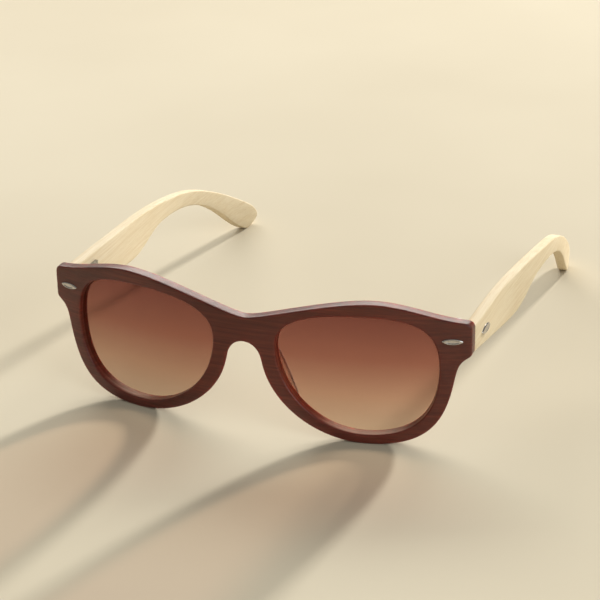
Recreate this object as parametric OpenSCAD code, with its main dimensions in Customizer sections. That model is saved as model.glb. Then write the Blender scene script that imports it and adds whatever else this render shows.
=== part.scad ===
// Sunglasses with a curved moulded front, tinted lenses and bamboo temples on barrel hinges.
// Millimetres. X runs across the front, the front faces -Y, the temples run to +Y, Z is up.
// The glasses stand open on a table at z = 0 on the rim bottoms and the temple tips.
// The origin is on the table, midway between the sides and midway between front and tips.

/* [Front] */
// Width of the front across both end pieces
front_w = 144; // [140:1:148]
// Height of the front from the rim bottoms to the top line's peak
front_h = 48.8; // [48:0.1:51]
// Thickness of the front
front_t = 4; // [3.8:0.1:4.6]
// Radius of the front's curve seen from above
front_r = 225; // [215:5:250]
// Dip of the top line at the middle of the bridge, below its peak
bridge_dip = 8.7; // [7.4:0.1:9.6]
// Height of the bridge from its top line to its underside
bridge_h = 8.5; // [7.8:0.1:9.4]
// Width of an end piece from the lens opening to the outer edge
end_w = 9.5; // [9.3:0.1:10.6]
// Drop of an end piece's top corner below the top line's peak
end_drop = 5.4; // [4.8:0.1:6]
// Height of an end piece from corner to corner
end_h = 11.2; // [10.8:0.1:11.8]
// Thickness of an end piece at its outer edge
end_t = 3.8; // [3.6:0.1:4.4]
// Width of the rim beside the nose
rim_nose = 4.8; // [4.2:0.1:5.4]
// Width of the rim beside the lens, at the temple side
rim_side = 4.7; // [4.2:0.1:5.4]

/* [Lenses] */
// Height of the rim over a lens opening
lens_brow = 4.5; // [4:0.1:5.4]
// Distance between the two lens openings
lens_gap = 21.4; // [20.6:0.2:23]
// Height of the rim under a lens opening
lens_low = 3.2; // [3:0.1:3.6]
// Thickness of a lens
lens_t = 1.5; // [1.2:0.1:1.7]
// Distance of a lens behind the front face
lens_set = 1.7; // [1.5:0.1:1.9]
// Reach of a lens edge into the groove of its rim
lens_lap = 0.7; // [0.5:0.1:0.9]

/* [Nose pads] */
// Reach of a nose pad behind the front face
pad_reach = 9.3; // [8:0.1:11]
// Thickness of a nose pad
pad_t = 1.5; // [1.3:0.1:2]
// Splay of the nose pads and of the rims beside the nose, in degrees
pad_splay = 18; // [12:1:22]

/* [Temples] */
// Length of a temple from the hinge joint to the tip
temple_len = 150; // [143:1:157]
// Thickness of a temple
temple_t = 3.6; // [3.2:0.1:4]
// Drop of a temple's top edge below the end piece's top corner
temple_drop = 2.9; // [2.5:0.1:3.3]
// Height of a temple's front end from edge to edge
temple_end_h = 8.8; // [8.4:0.1:9.6]
// Height of a temple at its broadest
temple_broad_h = 14.2; // [13.4:0.1:15.2]
// Height of a temple at its neck
temple_neck_h = 7.8; // [7.2:0.1:8.6]
// Outward bow of a temple's middle
temple_bow = 1.5; // [1:0.1:2]
// Inward set of a temple's tip
tip_in = 5.2; // [4:0.2:6]

/* [Hinges] */
// Radius of a hinge barrel
barrel_r = 1.5; // [1.4:0.05:1.6]
// Height of a hinge barrel
barrel_h = 7.8; // [7:0.1:8.2]
// Height of the middle knuckle of a barrel
knuckle_h = 3.2; // [2.6:0.1:3.6]
// Radius of a hinge screw
screw_r = 0.71; // [0.6:0.01:0.8]
// Thickness of the leaf on a temple
leaf_t = 1; // [0.8:0.1:1.2]

/* [Rivets] */
// Length of the oval rivet head on the front
front_rivet_l = 6.8; // [6:0.1:7.4]
// Height of the oval rivet head on the front
front_rivet_h = 2.1; // [1.9:0.1:2.5]
// Length of the oval rivet head on a temple
temple_rivet_l = 8.6; // [7.6:0.1:9.4]
// Height of the oval rivet head on a temple
temple_rivet_h = 3; // [2.6:0.1:3.6]
// Height of a rivet head above its face
rivet_proud = 0.5; // [0.4:0.05:0.7]
// Radius of a rivet pin
rivet_pin_r = 0.6; // [0.5:0.05:0.7]

/* [Hidden] */
// Points along each curve
curve_n = 14;
// Roundness of cylinders
$fn = 96;
// Gap between the end piece and a temple
joint_gap = 0.3;
// Inset of a temple's outer face from the end piece's outer edge
temple_in = 0.4;
// Gap around a lens in its groove
lens_clear = 0.1;
// Gap around a screw in the knuckles
screw_clear = 0.04;
// Gap between two knuckles
knuckle_gap = 0.1;
// Gap around a rivet pin and a rivet seat
rivet_clear = 0.02;
// Depth of the seat under a front rivet
seat_d = 0.2;
// Over-reach of cutting bodies
over = 1;

// Half the width of the front
half_w = front_w/2;
// Heights of the bridge, of an end piece and of a temple's top edge
bridge_top = front_h - bridge_dip;
bridge_under = bridge_top - bridge_h;
end_top = front_h - end_drop;
end_low = end_top - end_h;
temple_top = end_top - temple_drop;
// Width and height of a lens opening
lens_w = half_w - end_w - lens_gap/2;
lens_h = front_h - lens_low - lens_brow;
// Middle of the right lens opening
lens_cx = lens_gap/2 + lens_w/2;
lens_cz = lens_low + lens_h/2;
// Depth of the front face behind its middle, at a distance x from the middle
function sag(x) = front_r - sqrt(front_r*front_r - x*x);
// Flat joint plane behind the end pieces
joint_y = sag(half_w) + end_t;
// Front end of a temple
temple_y = joint_y + joint_gap;
// Whole depth and the shift that puts the origin at its middle
depth = temple_y + temple_len;
// Outer and inner faces of a temple
temple_xo = half_w - temple_in;
temple_xi = temple_xo - temple_t;
// Hinge axis
hinge_x = temple_xi - leaf_t - 1.3;
hinge_y = joint_y + barrel_r + 0.15;
hinge_z = temple_top - 0.37*temple_end_h;
// Lower and upper ends of a barrel
barrel_z0 = hinge_z - barrel_h/2;
barrel_z1 = hinge_z + barrel_h/2;
// Bore of the knuckles
bore_r = screw_r + screw_clear;
// Foot of the leaf inside the end piece
foot_w = 3.8;
foot_t = 1.2;
neck_w = 2.4;
neck_d = 1.5;
// Spacing of the two pins of a rivet, as a share of its length
pin_share = 0.55;
// Length of the front rivet pins
front_pin = 1.8;
// Place of the front rivet on the end piece
front_rivet_x = half_w - 0.6*end_w;
front_rivet_z = end_top - 0.536*end_h;
// Place of the temple rivet and the slope of the temple there
temple_rivet_y = temple_y + 0.086*temple_len;
temple_slope = 4.2;
temple_rivet_z = temple_top - 0.6875*temple_end_h;
// Length of the leaf on a temple behind the hinge axis
leaf_from = barrel_r + 0.35;
leaf_to = temple_rivet_y + pin_share*temple_rivet_l/2 + rivet_pin_r + 0.9 - hinge_y;
leaf_h = 4.6;
leaf_z0 = temple_rivet_z - 1.8;
// Start of a temple's bow, and the pull on its curve that gives the bow and the tip's set
bow_y = temple_y + 0.16*temple_len;
bow_pull = (temple_bow + 0.146*tip_in)/0.394;
// Length of the curve's end handle, at the tip
tip_run = 0.42*temple_len;

// One point of a cubic curve
function bz(a, b, c, d, t) =
    a*pow(1 - t, 3) + 3*b*pow(1 - t, 2)*t + 3*c*(1 - t)*t*t + d*pow(t, 3);
// Direction of a cubic curve
function bd(a, b, c, d, t) =
    (b - a)*pow(1 - t, 2) + 2*(c - b)*(1 - t)*t + (d - c)*t*t;
// Unit normal on the right-hand side of a direction
function right_of(v) = [v[1], -v[0]]/norm(v);
// Points of a cubic curve moved sideways by off, without its last point
function curve(a, b, c, d, off = 0) = [
    for (i = [0:curve_n - 1])
        let (t = i/curve_n)
        bz(a, b, c, d, t) + off*right_of(bd(a, b, c, d, t))
];
// The same for a curve given as a list of its four control points
function along(c, off = 0) = curve(c[0], c[1], c[2], c[3], off);
// Points of part of such a curve, in n steps
function span(c, from, to, n) = [
    for (i = [0:n])
        bz(c[0], c[1], c[2], c[3], from + (to - from)*i/n)
];
// Point on the tangent of such a curve, d beyond the point at t
function beyond(c, t, d) =
    let (v = bd(c[0], c[1], c[2], c[3], t))
    bz(c[0], c[1], c[2], c[3], t) + d*v/norm(v);
// Points of a list after its first, mirrored to the other side in the opposite order
function mirrored(p) = [for (i = [len(p) - 1:-1:1]) [-p[i][0], p[i][1]]];
// Points of an oval
function oval(l, h) = [for (i = [0:47]) [cos(i*7.5)*l/2, sin(i*7.5)*h/2]];

// Outline of the right lens opening, made larger by off
function lens_outline(off = 0) =
    let (
        w = lens_w/2,
        h = lens_h/2,
        c = [lens_cx, lens_cz],
        side = c + [w, 0.17*h],
        peak = c + [0.14*w, h],
        nose = c + [-w, 0.36*h],
        foot = c + [0.09*w, -h]
    )
    concat(
        curve(side, side + [0, 0.62*h], peak + [0.64*w, 0], peak, off),
        curve(peak, peak - [0.74*w, 0], nose + [0, 0.45*h], nose, off),
        curve(nose, nose - [0, 0.715*h], foot - [0.587*w, 0], foot, off),
        curve(foot, foot + [0.625*w, 0], side - [0, 0.788*h], side, off)
    );

// Key points of the right half of the front's outline
top_mid = [0, bridge_top];
top_peak = [lens_cx + 0.104*lens_w, front_h];
corner_r = 2;
top_end = [half_w - corner_r, end_top];
side_end = [half_w, end_top - corner_r];
low_end = [half_w, end_low];
rim_out = [lens_cx + lens_w/2 + rim_side, lens_cz + 0.015*lens_h];
rim_dir = [-0.177, -0.984];
rim_foot = [lens_cx + 0.066*lens_w, 0];
nose_side = [lens_gap/2 - rim_nose, lens_cz + 0.04*lens_h];
nose_top = [0, bridge_under];
nose_dir = [-0.17, 0.985];
// Step given as shares of a lens opening's width and height
function front_share(u, v) = [u*lens_w, v*lens_h];
// Underside of the right end piece
under_c = [low_end, low_end - front_share(0.07, 0.049), rim_out - 0.095*lens_h*rim_dir, rim_out];
// Outer edge of the right rim, down to its foot
flank_c = [rim_out, rim_out + 0.345*lens_h*rim_dir, rim_foot + front_share(0.405, 0), rim_foot];
// Nasal edge of the right rim, up from its foot
nasal_c = [rim_foot, rim_foot - front_share(0.317, 0), nose_side - 0.358*lens_h*nose_dir, nose_side];
// Right half of the arch under the bridge
arch_c = [nose_side, nose_side + 0.097*lens_h*nose_dir, nose_top + front_share(0.062, 0), nose_top];
// Right half of the front's outline, from the bridge's top over the end piece to its underside
half_outline = concat(
    curve(top_mid, top_mid + front_share(0.098, 0), top_peak - front_share(0.274, 0), top_peak),
    curve(top_peak, top_peak + front_share(0.199, 0), top_end + front_share(-0.189, 0.034), top_end),
    curve(top_end, top_end + [corner_r*0.55, 0], side_end + [0, corner_r*0.55], side_end),
    along(under_c),
    along(flank_c),
    along(nasal_c),
    along(arch_c)
);
// Whole outline of the front
front_outline = concat(half_outline, [nose_top], mirrored(half_outline));

// Step in a temple's side view as [y, z], given as shares of its length and of its top edge's height
function side(u, v) = [u*temple_len, v*temple_top];
// Key points of a temple's side view, measured from its front end
temple_head = side(0, 1);
temple_knee = side(0.634, 0.797);
temple_neck = side(0.495, 0.901) - [0, temple_neck_h];
temple_broad = side(0.327, 0.957) - [0, temple_broad_h];
temple_low = temple_head - [0, temple_end_h];
tip_top = side(0.963, 0.2395);
tip_end = side(1, 0.09);
tip_foot = side(0.945, 0);
// Side view of a temple
temple_outline = concat(
    curve(temple_head, temple_head + side(0.208, -0.005), temple_knee + side(-0.208, 0.1716), temple_knee),
    curve(temple_knee, temple_knee + side(0.107, -0.086), tip_top + side(-0.1, 0.232), tip_top),
    curve(tip_top, tip_top + side(0.02, -0.047), tip_end + side(0, 0.036), tip_end),
    curve(tip_end, tip_end - side(0, 0.04), tip_foot + side(0.024, 0), tip_foot),
    curve(tip_foot, tip_foot + side(-0.11, 0.18), temple_neck + side(0.28, 0), temple_neck),
    curve(temple_neck, temple_neck - side(0.062, 0), temple_broad + side(0.066, 0), temple_broad),
    curve(temple_broad, temple_broad - side(0.09, 0), temple_low + side(0.094, -0.046), temple_low),
    [temple_low]
);
// Edge of a temple seen from above, at a distance in from the outer face, and its end beyond the tip
function plan_edge(in) = curve(
    [temple_xo - in, bow_y], [temple_xo - in, bow_y + 0.25*temple_len],
    [temple_xo - in + bow_pull, depth - tip_run], [temple_xo - in - tip_in, depth]
);
function plan_end(in) = [temple_xo - in - tip_in - over*(tip_in + bow_pull)/tip_run, depth + over];
// Plan view of the right temple
temple_plan = concat(
    [[temple_xo, temple_y - over]],
    plan_edge(0),
    [plan_end(0), plan_end(temple_t)],
    [for (i = [curve_n - 1:-1:0]) plan_edge(temple_t)[i]],
    [[temple_xi, temple_y - over]]
);

// Piece to draw

// Moves a piece from the front's middle to the part's origin
module placed() {
    translate([0, -depth/2, 0]) children();
}

// Draws a right-hand piece on the left-hand side
module on_left() {
    mirror([1, 0, 0]) children();
}

// Front view [x, z] drawn out along Y from y0 to y1
module along_y(y0, y1) {
    translate([0, y1, 0]) rotate([90, 0, 0]) linear_extrude(height = y1 - y0) children();
}

// Side view [y, z] drawn out along X from x0 to x1
module along_x(x0, x1) {
    translate([x0, 0, 0]) rotate([90, 0, 90]) linear_extrude(height = x1 - x0) children();
}

// Upright curved layer of the front between two distances behind the front face
module layer(from, to) {
    translate([0, front_r, -over]) difference() {
        cylinder(r = front_r - from, h = front_h + 2*over, $fn = 360);
        translate([0, 0, -over]) cylinder(r = front_r - to, h = front_h + 4*over, $fn = 360);
    }
}

// Places a rivet that faces -Y onto the right end piece
module on_end_piece() {
    translate([0, front_r, front_rivet_z])
        rotate([0, 0, asin(front_rivet_x/front_r)])
            translate([0, -front_r, 0])
                children();
}

// Places a rivet that faces -Y onto the right temple's outer face
module on_temple() {
    translate([temple_xo, temple_rivet_y, temple_rivet_z])
        rotate([-temple_slope, 0, 0])
            rotate([0, 0, 90])
                children();
}

// Two pins of a rivet of length l, of radius r, reaching from y0 to y1
module rivet_pins(l, r, y0, y1) {
    for (s = [-1, 1])
        translate([s*l*pin_share/2, y1, 0]) rotate([90, 0, 0]) cylinder(r = r, h = y1 - y0, $fn = 32);
}

// Oval rivet of length l and height h with a stepped head, its seat at y0 and its pins reaching to y1
module rivet(l, h, y0, y1) {
    union() {
        along_y(-rivet_proud*0.6, y0) polygon(oval(l, h));
        along_y(-rivet_proud, y0) polygon(oval(l*0.86, h*0.7));
        rivet_pins(l, rivet_pin_r, y0 - 0.1, y1);
    }
}

// Turns a front view of the right rim's nasal side so that it splays away from the nose towards the back
module splayed() {
    translate([nose_side[0] + 0.15*lens_w, 0, 0])
        rotate([0, 0, -pad_splay])
            translate([-nose_side[0] - 0.15*lens_w, 0, 0])
                children();
}

// Nose pad behind the right rim, a splayed strip with a rounded side view
module nose_pad() {
    low = 0.22*lens_h;
    high = nose_side[1] + 0.136*lens_h;
    last = curve_n + floor(curve_n/2);
    nose_face = concat(along(nasal_c, -0.6), along(arch_c, -0.6));
    lens_face = concat(along(nasal_c, pad_t), along(arch_c, pad_t));
    strip = concat([for (i = [0:last]) nose_face[i]], [for (i = [last:-1:0]) lens_face[i]]);
    intersection() {
        splayed() along_y(1, pad_reach + 4) polygon(strip);
        along_x(0, lens_cx) polygon([
            for (i = [0:30])
                let (a = -90 + i*6)
                [front_t - 1 + cos(a)*(pad_reach - front_t + 1), (high + low)/2 + sin(a)*(high - low)/2]
        ]);
    }
}

// Room for the nose beside the right rim, which slants the rim's nasal side
module nose_room() {
    flank = concat(span(nasal_c, 0.5, 0.97, 9), span(arch_c, 0.05, 0.95, 9));
    splayed() along_y(-over, joint_y)
        polygon(concat([beyond(nasal_c, 0.5, -0.4*lens_h)], flank, [nose_top, [0, -over]]));
}

// Room outside the right rim, which squares its outer side to the curved front face
module side_room() {
    pivot = lens_cx + 0.46*lens_w;
    far = half_w + end_w;
    tail = beyond(flank_c, 0.55, 0.4*lens_h);
    flank = concat(span(under_c, 0.06, 0.95, 9), span(flank_c, 0.04, 0.55, 9));
    translate([pivot, sag(pivot + 0.07*lens_w), 0])
        rotate([0, 0, asin(rim_out[0]/front_r)])
            translate([-pivot, -sag(pivot + 0.07*lens_w), 0])
                along_y(-over, joint_y + 2*over)
                    polygon(concat(flank, [tail, [far, tail[1]], [far, flank[0][1]]]));
}

// Foot, neck and knuckle webs of the leaf in the right end piece
module front_leaf_body() {
    translate([hinge_x - foot_w/2, joint_y - neck_d - foot_t, barrel_z0]) cube([foot_w, foot_t, barrel_h]);
    translate([hinge_x - neck_w/2, joint_y - neck_d - over/2, barrel_z0])
        cube([neck_w, neck_d + over/2, barrel_h]);
}

// Right end piece thickened back to the joint plane
module end_block() {
    block_x = lens_cx + lens_w/2 + 0.1;
    block_z = barrel_z0 - 0.8;
    intersection() {
        along_y(0, joint_y) polygon(front_outline);
        layer(0, 2*front_t);
        translate([block_x, 0, block_z]) cube([half_w, joint_y, barrel_h + 1.6]);
    }
}

// Cuts of the right half: lens opening, lens groove, hinge pocket, rivet seat and pin holes
module half_cuts() {
    along_y(-over, joint_y + over) polygon(lens_outline());
    intersection() {
        along_y(-over, joint_y + over) polygon(lens_outline(lens_lap + lens_clear));
        layer(lens_set - lens_clear, lens_set + lens_t);
    }
    front_leaf_body();
    on_end_piece() {
        along_y(-over, seat_d) polygon(oval(front_rivet_l + 2*rivet_clear, front_rivet_h + 2*rivet_clear));
        rivet_pins(front_rivet_l, rivet_pin_r + rivet_clear, 0, front_pin + rivet_clear);
    }
}

// Moulded front with rims, bridge, end pieces and nose pads
module front_frame() {
    color([0.30, 0.13, 0.09])
    placed() difference() {
        union() {
            intersection() {
                along_y(-over, joint_y) polygon(front_outline);
                layer(0, front_t);
            }
            end_block();
            on_left() end_block();
            nose_pad();
            on_left() nose_pad();
        }
        nose_room();
        on_left() nose_room();
        side_room();
        on_left() side_room();
        half_cuts();
        on_left() half_cuts();
    }
}

// Right lens, curved with the front
module lens() {
    placed() intersection() {
        along_y(-over, joint_y + over) polygon(lens_outline(lens_lap));
        layer(lens_set, lens_set + lens_t);
    }
}

// Left lens
module lens_left() {
    color([0.55, 0.33, 0.25, 0.6]) on_left() lens();
}

// Right lens
module lens_right() {
    color([0.55, 0.33, 0.25, 0.6]) lens();
}

// Right oval rivet of the front
module front_rivet() {
    placed() on_end_piece() rivet(front_rivet_l, front_rivet_h, seat_d, front_pin);
}

// Left rivet of the front
module front_rivet_left() {
    color([0.8, 0.8, 0.79]) on_left() front_rivet();
}

// Right rivet of the front
module front_rivet_right() {
    color([0.8, 0.8, 0.79]) front_rivet();
}

// One knuckle of the right barrel between two heights, before its bore
module knuckle(z0, z1) {
    translate([hinge_x, hinge_y, z0]) cylinder(r = barrel_r, h = z1 - z0, $fn = 48);
}

// Bore of the right barrel
module barrel_bore() {
    translate([hinge_x, hinge_y, barrel_z0 - over]) cylinder(r = bore_r, h = barrel_h + 2*over, $fn = 48);
}

// Heights of the middle knuckle
mid_z0 = hinge_z - knuckle_h/2;
mid_z1 = hinge_z + knuckle_h/2;

// Right leaf moulded into the end piece, with the upper and lower knuckles
module front_leaf() {
    placed() difference() {
        union() {
            front_leaf_body();
            for (z = [[barrel_z0, mid_z0 - knuckle_gap], [mid_z1 + knuckle_gap, barrel_z1]]) {
                knuckle(z[0], z[1]);
                translate([hinge_x - neck_w/2, joint_y - neck_d, z[0]])
                    cube([neck_w, hinge_y - joint_y + neck_d, z[1] - z[0]]);
            }
        }
        barrel_bore();
    }
}

// Left leaf in the end piece
module front_hinge_leaf_left() {
    color([0.62, 0.62, 0.6]) on_left() front_leaf();
}

// Right leaf in the end piece
module front_hinge_leaf_right() {
    color([0.62, 0.62, 0.6]) front_leaf();
}

// Right hinge screw with a slotted head
module hinge_screw() {
    head_h = 0.6;
    placed() translate([hinge_x, hinge_y, 0]) difference() {
        union() {
            translate([0, 0, barrel_z0 + 0.2]) cylinder(r = screw_r, h = barrel_h, $fn = 48);
            translate([0, 0, barrel_z1]) cylinder(r = barrel_r - 0.25, h = head_h, $fn = 48);
        }
        translate([-barrel_r, -0.18, barrel_z1 + head_h - 0.3]) cube([2*barrel_r, 0.36, 1]);
    }
}

// Left hinge screw
module hinge_screw_left() {
    color([0.7, 0.7, 0.68]) on_left() hinge_screw();
}

// Right hinge screw
module hinge_screw_right() {
    color([0.7, 0.7, 0.68]) hinge_screw();
}

// Right temple with the holes of its rivet
module temple() {
    placed() difference() {
        intersection() {
            translate([0, temple_y, 0]) along_x(0, half_w + temple_bow + over) polygon(temple_outline);
            translate([0, 0, -over]) linear_extrude(height = front_h) polygon(temple_plan);
        }
        on_temple() rivet_pins(temple_rivet_l, rivet_pin_r + rivet_clear, -over, temple_t + over);
    }
}

// Left temple
module temple_left() {
    color([0.87, 0.74, 0.52]) on_left() temple();
}

// Right temple
module temple_right() {
    color([0.87, 0.74, 0.52]) temple();
}

// Right leaf on the temple's inner face, with the middle knuckle
module temple_leaf() {
    placed() difference() {
        union() {
            knuckle(mid_z0, mid_z1);
            translate([hinge_x, hinge_y, mid_z0]) cube([temple_xi - hinge_x, leaf_from + 0.4, knuckle_h]);
            translate([temple_xi - leaf_t, hinge_y + leaf_from, leaf_z0])
                cube([leaf_t, leaf_to - leaf_from, leaf_h]);
        }
        barrel_bore();
        on_temple() rivet_pins(temple_rivet_l, rivet_pin_r + rivet_clear, 0, temple_t + leaf_t + over);
    }
}

// Left leaf on the temple
module temple_hinge_leaf_left() {
    color([0.62, 0.62, 0.6]) on_left() temple_leaf();
}

// Right leaf on the temple
module temple_hinge_leaf_right() {
    color([0.62, 0.62, 0.6]) temple_leaf();
}

// Right oval rivet of the temple, its pins reaching through temple and leaf
module temple_rivet() {
    placed() on_temple() rivet(temple_rivet_l, temple_rivet_h, 0, temple_t + leaf_t);
}

// Left rivet of the temple
module temple_rivet_left() {
    color([0.8, 0.8, 0.79]) on_left() temple_rivet();
}

// Right rivet of the temple
module temple_rivet_right() {
    color([0.8, 0.8, 0.79]) temple_rivet();
}

front_frame();
lens_left();
lens_right();
front_rivet_left();
front_rivet_right();
front_hinge_leaf_left();
front_hinge_leaf_right();
hinge_screw_left();
hinge_screw_right();
temple_left();
temple_right();
temple_hinge_leaf_left();
temple_hinge_leaf_right();
temple_rivet_left();
temple_rivet_right();
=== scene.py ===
"""Looks of a pair of sunglasses: wood-look moulded front, gradient lenses and bamboo temples.

Shapes are worked out in millimetres in the part's own frame and become meshes in metres.
X runs across the front, the front faces -Y, the temples run to +Y, Z is up.
"""

import math

import bpy
import numpy as np
from mathutils import Matrix, Vector
from mathutils.geometry import delaunay_2d_cdt


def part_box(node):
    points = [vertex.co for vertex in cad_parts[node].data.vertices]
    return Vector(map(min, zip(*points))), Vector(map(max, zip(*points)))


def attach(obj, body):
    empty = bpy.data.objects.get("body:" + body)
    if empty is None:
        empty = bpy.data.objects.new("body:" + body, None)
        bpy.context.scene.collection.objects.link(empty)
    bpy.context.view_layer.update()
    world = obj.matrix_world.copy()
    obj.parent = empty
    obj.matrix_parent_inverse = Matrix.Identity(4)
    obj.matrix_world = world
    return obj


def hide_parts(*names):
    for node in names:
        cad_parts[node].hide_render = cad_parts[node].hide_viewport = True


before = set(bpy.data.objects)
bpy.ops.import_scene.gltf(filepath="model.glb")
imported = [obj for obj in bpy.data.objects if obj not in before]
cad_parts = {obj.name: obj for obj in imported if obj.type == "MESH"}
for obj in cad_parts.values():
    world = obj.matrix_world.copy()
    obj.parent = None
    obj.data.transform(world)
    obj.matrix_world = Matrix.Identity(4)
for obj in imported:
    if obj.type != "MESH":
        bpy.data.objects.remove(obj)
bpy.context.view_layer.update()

MM = 0.001
SIDES = {"left": -1, "right": 1}

# Front, read from its solid or equal to the part's driving sizes
front_lo, front_hi = (np.array(c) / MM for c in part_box("front_frame"))
half_w = front_hi[0]
front_y = front_lo[1]
front_h = front_hi[2]
front_r = 225.0
front_t = 4.0
front_edge = 0.5
front_grid = 1.5
outline_step = 0.5
lens_gap = 21.4
lens_low = 3.2
lens_brow = 4.5
end_w = 9.5
end_t = 3.8
rim_side = 4.7
rim_nose = 4.8
bridge_top = front_h - 8.7
bridge_under = bridge_top - 8.5
end_top = front_h - 5.4
end_low = end_top - 11.2
corner_r = 2.0
lens_w = half_w - end_w - lens_gap / 2
lens_h = front_h - lens_low - lens_brow
lens_c = np.array([lens_gap / 2 + lens_w / 2, lens_low + lens_h / 2])
# Lenses
lens_set = 1.7
lens_t = 1.5
lens_lap = 0.35
lens_edge = 0.2
lens_grid = 1.5
# Nose pads: blades that start inside the front and reach back from it
pad_splay = math.tan(math.radians(18))
pad_t = 1.5
pad_inset = 0.05
pad_start = 1.0
pad_root = front_t - 1.4
pad_least = pad_root - 0.5
pad_reach = 9.3
pad_low = 0.22 * lens_h
pad_high = lens_c[1] + 0.176 * lens_h
# Points of the arch that a pad follows, points along each wall of a pad's section and round its
# back edge, and the first and last face of a section that are dark
pad_arch_n = 30
pad_wall_n = 3
pad_turn_n = 13
pad_back = (7, 10)
# Blocks that thicken the end pieces: insets from the end piece, room round the leaf, depth of
# their start behind the front face
block_in = 0.5
block_out = 0.05
block_under = 0.6
block_over = 0.7
block_start = 2.0
block_edge = 0.45
block_grid = 1.2
block_step = 0.3
# Temples, their place, length and top read from the right one's solid
temple_lo, temple_hi = (np.array(c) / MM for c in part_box("temple_right"))
temple_y = temple_lo[1]
temple_len = temple_hi[1] - temple_lo[1]
temple_top = temple_hi[2]
temple_xo = half_w - 0.4
temple_t = 3.6
temple_edge = 0.45
temple_grid = 2.5
temple_step = 0.6
temple_end_h = 8.8
temple_broad_h = 14.2
temple_neck_h = 7.8
temple_bow = 1.5
tip_in = 5.2
# Rivets
front_rivet_size = (6.8, 2.1)
front_rivet_x = half_w - 0.6 * end_w
front_rivet_z = end_top - 6.0
temple_rivet_size = (8.6, 3.0)
temple_rivet_y = temple_y + 0.086 * temple_len
temple_rivet_z = temple_top - 0.6875 * temple_end_h
temple_rivet_slope = math.radians(4.2)
rivet_n = 96
# Softened edges of the hinge metal
hinge_edge = 0.12
hinge_angle = math.radians(40)


def sag(x):
    """Depth of the front face behind its middle."""
    return front_r - np.sqrt(front_r**2 - np.square(x))


def ease(x, a, b):
    """Smooth step from 0 at a to 1 at b."""
    t = np.clip((np.asarray(x, float) - a) / (b - a), 0, 1)
    return t * t * (3 - 2 * t)


def bezier(a, b, c, d, n=48):
    """n points of a cubic curve, without its last."""
    t = np.linspace(0, 1, n, endpoint=False)[:, None]
    a, b, c, d = (np.asarray(p, float) for p in (a, b, c, d))
    return a * (1 - t) ** 3 + 3 * b * (1 - t) ** 2 * t + 3 * c * (1 - t) * t**2 + d * t**3


def resampled(p, step, smoothing=0):
    """Closed line p at even steps, its corners eased by some rounds of smoothing."""
    q = np.vstack([p, p[:1]])
    run = np.concatenate([[0], np.cumsum(np.hypot(*np.diff(q, axis=0).T))])
    n = max(12, int(round(run[-1] / step)))
    s = np.linspace(0, run[-1], n, endpoint=False)
    out = np.c_[np.interp(s, run, q[:, 0]), np.interp(s, run, q[:, 1])]
    for _ in range(smoothing):
        out = (np.roll(out, 1, 0) + 2 * out + np.roll(out, -1, 0)) / 4
    return out


def anticlockwise(p):
    """Whether a closed line runs anticlockwise."""
    return np.sum(p[:, 0] * np.roll(p[:, 1], -1) - np.roll(p[:, 0], -1) * p[:, 1]) > 0


def outward(p):
    """Unit normals of a closed line, pointing out of it."""
    d = np.roll(p, -1, 0) - np.roll(p, 1, 0)
    n = np.c_[d[:, 1], -d[:, 0]] / np.hypot(*d.T)[:, None]
    return n if anticlockwise(p) else -n


def inside(points, line):
    """Which points lie inside a closed line."""
    x, y = points[:, 0][:, None], points[:, 1][:, None]
    x0, y0 = line[:, 0], line[:, 1]
    x1, y1 = np.roll(x0, -1), np.roll(y0, -1)
    cross = ((y0 > y) != (y1 > y)) & (x < (x1 - x0) * (y - y0) / (y1 - y0 + 1e-12) + x0)
    return cross.sum(1) % 2 == 1


class Body:
    """Vertices in millimetres and faces of one mesh."""

    def __init__(self):
        self.verts, self.faces = [], []

    def add(self, points):
        """New vertices, as a row of their numbers."""
        first = len(self.verts)
        self.verts.extend(np.asarray(points, float).tolist())
        return np.arange(first, first + len(points))

    def cap(self, row):
        """One face over a closed row of vertices."""
        self.faces.append(tuple(int(v) for v in row))

    def strip(self, a, b, flip=False):
        """Quads between two closed rows of vertices."""
        n = len(a)
        for i in range(n):
            j = (i + 1) % n
            quad = (a[i], a[j], b[j], b[i])
            self.cap(quad[::-1] if flip else quad)

    def mirrored(self):
        """The same on the other side."""
        m = Body()
        m.verts = [(-x, y, z) for x, y, z in self.verts]
        m.faces = [f[::-1] for f in self.faces]
        return m

    def on_side(self, sign):
        """A body made for the right side, for the side of that sign."""
        return self if sign > 0 else self.mirrored()

    def joined(self, other):
        """This mesh with another one's added to it."""
        first = len(self.verts)
        self.verts.extend(other.verts)
        self.faces.extend(tuple(v + first for v in f) for f in other.faces)
        return self

    def piece(self, name, material, body, slot, stands_for):
        """Object in metres that rides on a CAD body and stands for a CAD node."""
        mesh = bpy.data.meshes.new(name)
        mesh.from_pydata((np.array(self.verts) * MM).tolist(), [], self.faces)
        mesh.update()
        mesh.shade_smooth()
        obj = bpy.data.objects.new(name, mesh)
        bpy.context.scene.collection.objects.link(obj)
        mesh.materials.append(material)
        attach(obj, body)
        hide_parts(stands_for)
        return obj


def edge_profile(t, r, turn_n=6, wall_n=3):
    """Inset and depth across a plate's rounded edge, from its first face to its second."""
    a = np.linspace(0, math.pi / 2, turn_n)
    first = np.c_[r * (1 - np.sin(a)), r * (1 - np.cos(a))]
    wall = np.c_[np.zeros(wall_n), np.linspace(r, t - r, wall_n + 2)[1:-1]]
    second = np.c_[r * (1 - np.cos(a)), t - r + r * np.sin(a)]
    return np.vstack([first, wall, second])


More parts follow.
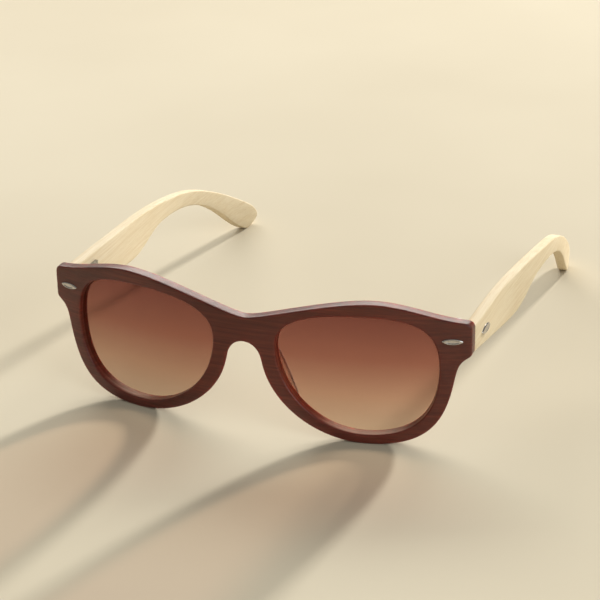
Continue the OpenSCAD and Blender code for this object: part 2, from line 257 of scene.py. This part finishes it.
def plate(outer, holes, t, r, place, grid):
    """Rounded plate of thickness t. place(u, v, depth) puts its flat points into space."""
    body = Body()
    rims = []
    for line, sign in [(outer, -1)] + [(h, 1) for h in holes]:
        into = sign * outward(line)
        rows = []
        for inset, depth in edge_profile(t, r):
            q = line + into * inset
            rows.append(body.add(place(q[:, 0], q[:, 1], np.full(len(q), depth))))
        for a, b in zip(rows, rows[1:]):
            body.strip(a, b, flip=anticlockwise(line) == (sign < 0))
        rims.append((line + into * r, rows[0], rows[-1]))

    def on_face(points):
        """Which points lie inside the outer rim and outside the holes."""
        keep = inside(points, rims[0][0])
        for line, _, _ in rims[1:]:
            keep &= ~inside(points, line)
        return keep

    # Both faces take one filling: grid points between the rims, joined to them by triangles
    lo, hi = outer.min(0), outer.max(0)
    gu, gv = np.meshgrid(np.arange(lo[0], hi[0], grid), np.arange(lo[1], hi[1], grid))
    g = np.c_[gu.ravel(), gv.ravel()]
    g = g[on_face(g)]
    edge = np.vstack([line for line, _, _ in rims])
    near = np.array([np.min(np.hypot(*(edge - p).T)) for p in g])
    g = g[near > 0.5 * grid]
    flat = np.vstack([edge, g])
    g_front = body.add(place(g[:, 0], g[:, 1], np.zeros(len(g))))
    g_back = body.add(place(g[:, 0], g[:, 1], np.full(len(g), t)))
    front = np.concatenate([a for _, a, _ in rims] + [g_front])
    back = np.concatenate([b for _, _, b in rims] + [g_back])
    edges, first = [], 0
    for line, _, _ in rims:
        n = len(line)
        edges += [(first + i, first + (i + 1) % n) for i in range(n)]
        first += n
    verts, _, tris, origin, _, _ = delaunay_2d_cdt([Vector(p) for p in flat], edges, [], 0, 1e-7)
    where = [o[0] for o in origin]
    mid = np.array([np.mean([verts[i] for i in tri], axis=0) for tri in tris])
    for tri, ok in zip(tris, on_face(mid)):
        if ok:
            body.cap(front[where[i]] for i in tri)
            body.cap(back[where[i]] for i in reversed(tri))
    return body


# Outlines of the front
def share(u, v):
    """Step given as shares of the lens opening's width and height."""
    return np.array([u * lens_w, v * lens_h])


def lens_line():
    """Right lens opening."""
    w, h = lens_w / 2, lens_h / 2
    side, peak = lens_c + [w, 0.17 * h], lens_c + [0.14 * w, h]
    nose, foot = lens_c + [-w, 0.36 * h], lens_c + [0.09 * w, -h]
    return np.vstack([
        bezier(side, side + [0, 0.62 * h], peak + [0.64 * w, 0], peak),
        bezier(peak, peak - [0.74 * w, 0], nose + [0, 0.45 * h], nose),
        bezier(nose, nose - [0, 0.715 * h], foot - [0.587 * w, 0], foot),
        bezier(foot, foot + [0.625 * w, 0], side - [0, 0.788 * h], side),
    ])


top_mid = np.array([0, bridge_top])
top_peak = np.array([lens_c[0] + 0.104 * lens_w, front_h])
top_end = np.array([half_w - corner_r, end_top])
side_end = np.array([half_w, end_top - corner_r])
low_end = np.array([half_w, end_low])
rim_out = np.array([lens_c[0] + lens_w / 2 + rim_side, lens_c[1] + 0.015 * lens_h])
rim_dir = np.array([-0.177, -0.984])
rim_foot = np.array([lens_c[0] + 0.066 * lens_w, 0])
nose_side = np.array([lens_gap / 2 - rim_nose, lens_c[1] + 0.04 * lens_h])
nose_dir = np.array([-0.17, 0.985])
nose_top = np.array([0, bridge_under])
nasal_line = bezier(
    rim_foot, rim_foot - share(0.317, 0), nose_side - 0.358 * lens_h * nose_dir, nose_side
)
arch_line = bezier(
    nose_side, nose_side + 0.097 * lens_h * nose_dir, nose_top + share(0.062, 0), nose_top
)
half_line = np.vstack([
    bezier(top_mid, top_mid + share(0.098, 0), top_peak - share(0.274, 0), top_peak),
    bezier(top_peak, top_peak + share(0.199, 0), top_end + share(-0.189, 0.034), top_end),
    bezier(top_end, top_end + [0.55 * corner_r, 0], side_end + [0, 0.55 * corner_r], side_end),
    bezier(side_end, side_end, low_end, low_end),
    bezier(low_end, low_end - share(0.07, 0.049), rim_out - 0.095 * lens_h * rim_dir, rim_out),
    bezier(rim_out, rim_out + 0.345 * lens_h * rim_dir, rim_foot + share(0.405, 0), rim_foot),
    nasal_line,
    arch_line,
])
flip = np.array([-1.0, 1.0])
whole_line = np.vstack([half_line, nose_top, half_line[:0:-1] * flip])
front_line = resampled(whole_line, outline_step, smoothing=4)
lens_right = resampled(lens_line(), outline_step)
lens_left = (lens_right * flip)[::-1]


def nasal_x(z):
    """Distance of a rim's nasal edge from the middle at a height."""
    line = np.vstack([nasal_line, arch_line])
    return np.interp(z, line[:, 1], line[:, 0])


def on_front(u, v, d):
    """Point d behind the curved front face. Walls stand square to the face, but the end pieces'
    outer sides run straight back and the nasal walls splay away from the nose."""
    # The ranges over which one form blends into the other are in millimetres
    on_end = ease(v, end_low - 2, end_low + 0.5) * ease(np.abs(u), half_w - 8, half_w - 2)
    x = u - (1 - on_end) * d * u / front_r
    by_nose = 1 - ease(np.abs(u) - nasal_x(v), 1.0, rim_nose)
    at_height = ease(v, 2, 12) * (1 - ease(v, bridge_under - 4, bridge_under))
    splay = d * pad_splay * by_nose * at_height
    y = front_y + sag(u) + d * np.sqrt(1 - np.square(u / front_r))
    return np.c_[x + np.sign(u) * splay, y, v]


def nose_pad():
    """Right pad: a splayed blade behind the nasal edge, rounded in side view and at its back."""
    line = np.vstack([nasal_line, arch_line[:pad_arch_n]])
    into = np.c_[np.gradient(line[:, 1]), -np.gradient(line[:, 0])]
    into /= np.hypot(*into.T)[:, None]
    mid, half = (pad_high + pad_low) / 2, (pad_high - pad_low) / 2
    use = np.abs(line[:, 1] - mid) < half
    line, into = line[use], into[use]
    bulge = np.sqrt(1 - ((line[:, 1] - mid) / half) ** 2)
    reach = pad_root + (pad_reach - pad_root) * bulge
    r = pad_t / 2
    a = np.linspace(0, math.pi, pad_turn_n)
    w = np.concatenate([[0] * pad_wall_n, r - r * np.cos(a), [pad_t] * pad_wall_n]) + pad_inset
    body, rows = Body(), []
    for p, m, deep in zip(line, into, reach):
        tip = max(deep - r, pad_least)
        wall = np.linspace(pad_start, tip, pad_wall_n + 1)
        d = np.concatenate([wall[:-1], tip + r * np.sin(a), wall[-2::-1]])
        q = p + np.outer(w, m)
        rows.append(body.add(np.c_[q[:, 0] + pad_splay * d, front_y + sag(p[0]) + d, q[:, 1]]))
    for a_row, b_row in zip(rows, rows[1:]):
        body.strip(a_row, b_row, flip=True)
    body.cap(rows[0])
    body.cap(rows[-1][::-1])
    return body


def end_block():
    """Right end piece thickened back to the joint plane round the hinge leaf."""
    leaf_lo, leaf_hi = (np.array(c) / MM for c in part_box("front_hinge_leaf_right"))
    x0, x1 = half_w - end_w + block_in, half_w - block_out
    z0, z1 = leaf_lo[2] - block_under, leaf_hi[2] + block_over
    square = np.array([[x0, z0], [x1, z0], [x1, z1], [x0, z1]])
    joint = front_y + sag(half_w) + end_t

    def place(u, v, d):
        near = front_y + sag(u) + block_start
        return np.c_[u, near + (joint - near) * d / front_t, v]

    line = resampled(square, block_step, smoothing=5)
    return plate(line, [], front_t, block_edge, place, block_grid)


# Side view of a temple
def side(u, v):
    """Step given as shares of the temple's length and of its top's height."""
    return np.array([u * temple_len, v * temple_top])


def temple_line():
    """Side view of a temple as [y, z]."""
    head, knee, low = side(0, 1), side(0.634, 0.797), side(0, 1) - [0, temple_end_h]
    neck = side(0.495, 0.901) - [0, temple_neck_h]
    broad = side(0.327, 0.957) - [0, temple_broad_h]
    tip_top, tip_end, tip_foot = side(0.963, 0.2395), side(1, 0.09), side(0.945, 0)
    line = np.vstack([
        bezier(head, head + side(0.208, -0.005), knee + side(-0.208, 0.1716), knee),
        bezier(knee, knee + side(0.107, -0.086), tip_top + side(-0.1, 0.232), tip_top),
        bezier(tip_top, tip_top + side(0.02, -0.047), tip_end + side(0, 0.036), tip_end),
        bezier(tip_end, tip_end - side(0, 0.04), tip_foot + side(0.024, 0), tip_foot),
        bezier(tip_foot, tip_foot + side(-0.11, 0.18), neck + side(0.28, 0), neck),
        bezier(neck, neck - side(0.062, 0), broad + side(0.066, 0), broad),
        bezier(broad, broad - side(0.09, 0), low + side(0.094, -0.046), low),
        bezier(low, low, head, head),
    ])
    return resampled(line + [temple_y, 0], temple_step, smoothing=5)


def bow_line():
    """Outer face of the right temple seen from above, from the start of its bow to its tip."""
    start = np.array([temple_xo, temple_y + 0.16 * temple_len])
    tip = np.array([temple_xo - tip_in, temple_y + temple_len])
    # The curve's third point, pulled outwards until the bow is temple_bow
    pull = (temple_bow + 0.146 * tip_in) / 0.394
    turn = np.array([temple_xo + pull, tip[1] - 0.42 * temple_len])
    return np.vstack([bezier(start, start + [0, 0.25 * temple_len], turn, tip), tip])


temple_bend = bow_line()


def on_temple(u, v, d):
    """Point d inside the right temple's outer face, which bows outwards and turns in to the tip."""
    return np.c_[np.interp(u, temple_bend[:, 1], temple_bend[:, 0]) - d, u, v]


def oval_rivet(size, centre, along, up, out):
    """Polished oval head with a rounded rim round a shallow dish, ends drawn to soft points."""
    # Rings from the foot to the middle of the dish: share of the outline, height above the face
    rings = [
        (1.0, -0.25), (1.0, 0.04), (0.99, 0.14), (0.955, 0.25), (0.9, 0.36),
        (0.83, 0.45), (0.75, 0.5), (0.68, 0.49), (0.61, 0.42), (0.54, 0.34),
        (0.42, 0.28), (0.28, 0.26), (0.14, 0.25),
    ]
    pointedness = 1.25
    a = np.linspace(0, 2 * math.pi, rivet_n, endpoint=False)
    ox = np.cos(a) * size[0] / 2
    oy = np.sign(np.sin(a)) * np.abs(np.sin(a)) ** pointedness * size[1] / 2
    body, rows = Body(), []
    for k, h in rings:
        rows.append(body.add(centre + np.outer(ox * k, along) + np.outer(oy * k, up) + h * out))
    for r0, r1 in zip(rows, rows[1:]):
        body.strip(r0, r1)
    body.cap(rows[-1])
    body.cap(rows[0][::-1])
    return body


# Materials
def new_material(name):
    """Material, its main shader and two functions that add a node and a link to it."""
    m = bpy.data.materials.new(name)
    m.use_nodes = True
    nt = m.node_tree
    shader = nt.nodes["Principled BSDF"]

    def node(kind, **settings):
        n = nt.nodes.new(kind)
        for key, value in settings.items():
            setattr(n, key, value)
        return n

    def link(a, b):
        nt.links.new(a, b)

    return m, shader, node, link


def fix(n, values):
    """Sets inputs of a node to constant values."""
    for key, value in values.items():
        n.inputs[key].default_value = value


def ramp(node, link, value, stops):
    """Colour of a 0..1 socket between stops of position and colour."""
    n = node("ShaderNodeValToRGB")
    e = n.color_ramp.elements
    while len(e) < len(stops):
        e.new(0.5)
    for s, (pos, col) in zip(e, stops):
        s.position = pos
        s.color = (*col, 1)
    link(value, n.inputs["Fac"])
    return n.outputs["Color"]


def noise(node, link, scale, detail, rough):
    """Noise in object coordinates, with its scale along each axis per millimetre."""
    coords = node("ShaderNodeTexCoord")
    mapping = node("ShaderNodeMapping")
    fix(mapping, {"Scale": [s / MM for s in scale]})
    link(coords.outputs["Object"], mapping.inputs["Vector"])
    n = node("ShaderNodeTexNoise")
    fix(n, {"Scale": 1.0, "Detail": detail, "Roughness": rough})
    link(mapping.outputs["Vector"], n.inputs["Vector"])
    return n.outputs["Fac"]


def multiplied(node, link, a, b, fac):
    """Colour socket a multiplied by colour socket b, as far as fac says."""
    n = node("ShaderNodeMix", data_type="RGBA", blend_type="MULTIPLY")
    factor, colour_a, colour_b, result = n.inputs[0], n.inputs[6], n.inputs[7], n.outputs[2]
    factor.default_value = fac
    link(a, colour_a)
    link(b, colour_b)
    return result


def spread(node, link, value, low, high):
    """Socket 0..1 mapped to low..high."""
    n = node("ShaderNodeMapRange")
    fix(n, {"To Min": low, "To Max": high})
    link(value, n.inputs["Value"])
    return n.outputs["Result"]


def bumped(node, link, shader, height, strength, depth):
    """Bump from a 0..1 socket, its depth in millimetres."""
    n = node("ShaderNodeBump")
    fix(n, {"Strength": strength, "Distance": depth * MM})
    link(height, n.inputs["Height"])
    link(n.outputs["Normal"], shader.inputs["Normal"])


def see_through(m, shader, node, link, colour, blend, solid):
    """Clear in a colour where seen straight on, more of the shader where seen at a slant."""
    clear = node("ShaderNodeBsdfTransparent")
    link(colour, clear.inputs["Color"])
    facing = node("ShaderNodeLayerWeight")
    fix(facing, {"Blend": blend})
    mix = node("ShaderNodeMixShader")
    link(spread(node, link, facing.outputs["Facing"], *solid), mix.inputs["Fac"])
    link(clear.outputs["BSDF"], mix.inputs[1])
    link(shader.outputs["BSDF"], mix.inputs[2])
    link(mix.outputs["Shader"], m.node_tree.nodes["Material Output"].inputs["Surface"])


def front_material():
    """Red-brown plastic with wood streaks across the front, which light shines into."""
    m, shader, node, link = new_material("front_plastic")
    streak = noise(node, link, (0.03, 0.25, 1.5), 5, 0.6)
    fine = noise(node, link, (0.11, 1.0, 5.5), 3, 0.6)
    cloud = noise(node, link, (0.03, 0.03, 0.05), 2, 0.5)
    wood = ramp(node, link, streak, [
        (0.30, (0.088, 0.013, 0.0075)), (0.46, (0.124, 0.020, 0.011)),
        (0.58, (0.152, 0.026, 0.014)), (0.72, (0.198, 0.037, 0.020)),
    ])
    lines = ramp(node, link, fine, [(0.34, (0.64, 0.62, 0.62)), (0.62, (1.0, 1.0, 1.0))])
    base = multiplied(node, link, wood, lines, 0.7)
    shade = ramp(node, link, cloud, [(0.3, (0.75, 0.7, 0.7)), (0.7, (1.25, 1.2, 1.15))])
    base = multiplied(node, link, base, shade, 0.8)
    link(base, shader.inputs["Base Color"])
    link(spread(node, link, fine, 0.28, 0.44), shader.inputs["Roughness"])
    fix(shader, {
        "Specular IOR Level": 0.5, "Subsurface Weight": 0.55,
        "Subsurface Radius": (1.6, 0.2, 0.1), "Subsurface Scale": 3 * MM,
    })
    bumped(node, link, shader, fine, 0.12, 0.05)
    return m


def pad_material():
    """The front's plastic where it is thin: pale, cloudy rose that lets light through."""
    m, shader, node, link = new_material("pad_plastic")
    cloud = noise(node, link, (0.12, 0.12, 0.3), 3, 0.5)
    thin = ramp(node, link, cloud, [(0.3, (0.95, 0.86, 0.84)), (0.7, (0.99, 0.93, 0.91))])
    thick = ramp(node, link, cloud, [(0.3, (0.78, 0.64, 0.62)), (0.7, (0.86, 0.74, 0.72))])
    link(thick, shader.inputs["Base Color"])
    link(spread(node, link, cloud, 0.22, 0.32), shader.inputs["Roughness"])
    fix(shader, {
        "Subsurface Weight": 0.9, "Subsurface Radius": (1.4, 1.1, 1.0), "Subsurface Scale": 3 * MM,
    })
    see_through(m, shader, node, link, thin, 0.25, (0.12, 0.9))
    return m


def lens_material():
    """Glossy clear sheet, its tint fading from rose-brown at the top to pale at the bottom."""
    m, shader, node, link = new_material("lens_tint")
    coords = node("ShaderNodeTexCoord")
    split = node("ShaderNodeSeparateXYZ")
    link(coords.outputs["Object"], split.inputs["Vector"])
    height = node("ShaderNodeMapRange")
    fix(height, {"From Min": lens_low * MM, "From Max": (lens_low + lens_h) * MM})
    link(split.outputs["Z"], height.inputs["Value"])
    fade = ramp(node, link, height.outputs["Result"], [
        (0.0, (0.90, 0.80, 0.71)), (0.30, (0.81, 0.64, 0.55)),
        (0.62, (0.645, 0.42, 0.365)), (1.0, (0.505, 0.295, 0.27)),
    ])
    fix(shader, {"Base Color": (0.02, 0.012, 0.01, 1)})
    haze = noise(node, link, (0.05, 0.05, 0.08), 3, 0.5)
    link(spread(node, link, haze, 0.02, 0.07), shader.inputs["Roughness"])
    see_through(m, shader, node, link, fade, 0.35, (0.045, 0.55))
    return m


def bamboo_material():
    """Pale bamboo with straight fibres along the temples, under a thin matt varnish."""
    m, shader, node, link = new_material("bamboo")
    fibre = noise(node, link, (1.2, 0.022, 1.4), 5, 0.62)
    fine = noise(node, link, (5.0, 0.09, 5.5), 3, 0.6)
    cloud = noise(node, link, (0.02, 0.018, 0.06), 2, 0.5)
    wood = ramp(node, link, fibre, [
        (0.28, (0.655, 0.53, 0.345)), (0.45, (0.705, 0.595, 0.415)),
        (0.58, (0.735, 0.635, 0.46)), (0.75, (0.765, 0.675, 0.51)),
    ])
    lines = ramp(node, link, fine, [(0.32, (0.88, 0.83, 0.74)), (0.55, (1.0, 1.0, 1.0))])
    base = multiplied(node, link, wood, lines, 0.55)
    shade = ramp(node, link, cloud, [(0.3, (0.92, 0.89, 0.83)), (0.7, (1.03, 1.03, 1.02))])
    base = multiplied(node, link, base, shade, 0.9)
    link(base, shader.inputs["Base Color"])
    link(spread(node, link, fine, 0.50, 0.68), shader.inputs["Roughness"])
    fix(shader, {"Specular IOR Level": 0.4})
    bumped(node, link, shader, fine, 0.2, 0.05)
    return m


def metal_material(name, colour, rough, grain, scale):
    """Brushed metal whose roughness and tone vary with its grain."""
    m, shader, node, link = new_material(name)
    brushed = noise(node, link, scale, 4, 0.6)
    dull = [c * 0.86 for c in colour]
    link(ramp(node, link, brushed, [(0.3, dull), (0.7, colour)]), shader.inputs["Base Color"])
    fix(shader, {"Metallic": 1.0})
    link(spread(node, link, brushed, rough - grain, rough + grain), shader.inputs["Roughness"])
    bumped(node, link, shader, brushed, 0.1, 0.02)
    return m


plastic = front_material()
thin_plastic = pad_material()
tint = lens_material()
bamboo = bamboo_material()
silver = metal_material("rivet_metal", (0.60, 0.57, 0.55), 0.24, 0.08, (0.8, 0.8, 4.0))
nickel = metal_material("hinge_metal", (0.40, 0.385, 0.36), 0.46, 0.08, (3.0, 0.5, 3.0))

# Pieces of the front
shell = plate(front_line, [lens_left, lens_right], front_t, front_edge, on_front, front_grid)
block = end_block()
shell.joined(block).joined(block.mirrored())
shell.piece("front_shell", plastic, "front", "front_plastic", "front_frame")
# Nose pads: thin blades, dark along their rounded back edges where the plastic is seen end on
pad = nose_pad()
pad_row = 2 * pad_wall_n + pad_turn_n
for name, sign in SIDES.items():
    body = pad.on_side(sign)
    obj = body.piece(f"nose_pad_{name}", thin_plastic, "front", "front_plastic", "front_frame")
    obj.data.materials.append(plastic)
    for k, face in enumerate(obj.data.polygons):
        face.material_index = int(pad_back[0] <= k % pad_row <= pad_back[1])


def on_lens(u, v, d):
    """Point d behind a lens's front face."""
    return on_front(u, v, d + lens_set)


lens_outline = lens_right + outward(lens_right) * lens_lap
lens_body = plate(lens_outline, [], lens_t, lens_edge, on_lens, lens_grid)
for name, sign in SIDES.items():
    body = lens_body.on_side(sign)
    body.piece(f"lens_shell_{name}", tint, "front", "lens_tint", f"lens_{name}")

# Rivets on the front sit square to its curved face
turn = front_rivet_x / front_r
level = math.sqrt(1 - turn**2)
front_rivet = oval_rivet(
    front_rivet_size,
    np.array([front_rivet_x, front_y + sag(front_rivet_x), front_rivet_z]),
    np.array([level, turn, 0]), np.array([0, 0, 1]), np.array([turn, -level, 0]),
)
# Rivets on the temples follow the temple's slope
run, rise = math.cos(temple_rivet_slope), math.sin(temple_rivet_slope)
temple_rivet = oval_rivet(
    temple_rivet_size,
    np.array([temple_xo, temple_rivet_y, temple_rivet_z]),
    np.array([0, run, -rise]), np.array([0, rise, run]), np.array([1, 0, 0]),
)
temple_body = plate(temple_line(), [], temple_t, temple_edge, on_temple, temple_grid)
for name, sign in SIDES.items():
    on = f"{name}_temple"
    front_rivet.on_side(sign).piece(
        f"front_rivet_head_{name}", silver, "front", "rivet_metal", f"front_rivet_{name}"
    )
    temple_rivet.on_side(sign).piece(
        f"temple_rivet_head_{name}", silver, on, "rivet_metal", f"temple_rivet_{name}"
    )
    temple_body.on_side(sign).piece(
        f"temple_shell_{name}", bamboo, on, "bamboo", f"temple_{name}"
    )

# Hinge metal keeps its solids, with softened edges
for name in SIDES:
    for kind in ("front_hinge_leaf", "temple_hinge_leaf", "hinge_screw"):
        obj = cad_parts[f"{kind}_{name}"]
        obj.data.materials.clear()
        obj.data.materials.append(nickel)
        bevel = obj.modifiers.new("edges", "BEVEL")
        bevel.width = hinge_edge * MM
        bevel.segments = 2
        bevel.limit_method = "ANGLE"
        bevel.angle_limit = hinge_angle
        bevel.harden_normals = True

# Floor
floor_half = 3.0
corners = [(x * floor_half, y * floor_half, 0) for x, y in ((-1, -1), (1, -1), (1, 1), (-1, 1))]
mesh = bpy.data.meshes.new("floor")
mesh.from_pydata(corners, [], [(0, 1, 2, 3)])
floor = bpy.data.objects.new("floor", mesh)
bpy.context.scene.collection.objects.link(floor)
m, shader, node, link = new_material("floor")
cloud = noise(node, link, (0.004, 0.004, 0.004), 3, 0.5)
pale = ramp(node, link, cloud, [(0.35, (0.60, 0.535, 0.405)), (0.65, (0.65, 0.585, 0.45))])
link(pale, shader.inputs["Base Color"])
fix(shader, {"Roughness": 0.85})
mesh.materials.append(m)

# Light: an even, slightly warm sky, and three lamps that face the glasses
scene = bpy.context.scene
scene.view_settings.view_transform = "Standard"
world = bpy.data.worlds.new("sky")
scene.world = world
world.use_nodes = True
fix(world.node_tree.nodes["Background"], {"Color": (1.0, 0.955, 0.85, 1), "Strength": 0.28})
lamp_aim = Vector((0, 0, 0.02))


def area_light(name, place, size, watts, colour):
    """Rectangular lamp, in metres."""
    data = bpy.data.lights.new(name, "AREA")
    data.shape = "RECTANGLE"
    data.size, data.size_y = size
    data.energy = watts
    data.color = colour
    lamp = bpy.data.objects.new(name, data)
    lamp.location = place
    lamp.rotation_mode = "QUATERNION"
    lamp.rotation_quaternion = (lamp_aim - Vector(place)).to_track_quat("-Z", "Y")
    scene.collection.objects.link(lamp)
    return lamp


# A low key from behind throws the long shadows and isn't mirrored, a long softbox above and behind
# is what the shiny faces mirror, and a weak cool card on the right lights the temples' sides
key = area_light("key", (0.90, 3.80, 0.87), (0.32, 0.32), 305.0, (1.0, 0.98, 0.95))
key.visible_glossy = False
area_light("softbox", (-1.1, 2.45, 1.85), (3.6, 1.0), 95.0, (1.0, 0.965, 0.90))
area_light("card", (2.1, -0.9, 1.0), (1.4, 1.4), 19.0, (0.88, 0.95, 1.0))

# Camera at the photograph's place, in millimetres and radians
cam_at = np.array([221.386, -515.805 + front_y, 303.083])
cam_yaw, cam_pitch, cam_roll = -0.372697, 0.429928, 0.0187869
focal_px, image_px, sensor = 1960.99, 600, 36.0
ahead = np.array([
    math.sin(cam_yaw) * math.cos(cam_pitch),
    math.cos(cam_yaw) * math.cos(cam_pitch),
    -math.sin(cam_pitch),
])
right = np.array([math.cos(cam_yaw), -math.sin(cam_yaw), 0])
down = np.cross(ahead, right)
right, down = (
    right * math.cos(cam_roll) + down * math.sin(cam_roll),
    down * math.cos(cam_roll) - right * math.sin(cam_roll),
)
data = bpy.data.cameras.new("camera")
data.sensor_width = sensor
data.lens = focal_px / image_px * sensor
camera = bpy.data.objects.new("camera", data)
axes = np.c_[right, -down, -ahead]
camera.matrix_world = Matrix([[*axes[i], cam_at[i] * MM] for i in range(3)] + [[0, 0, 0, 1]])
scene.collection.objects.link(camera)
scene.camera = camera
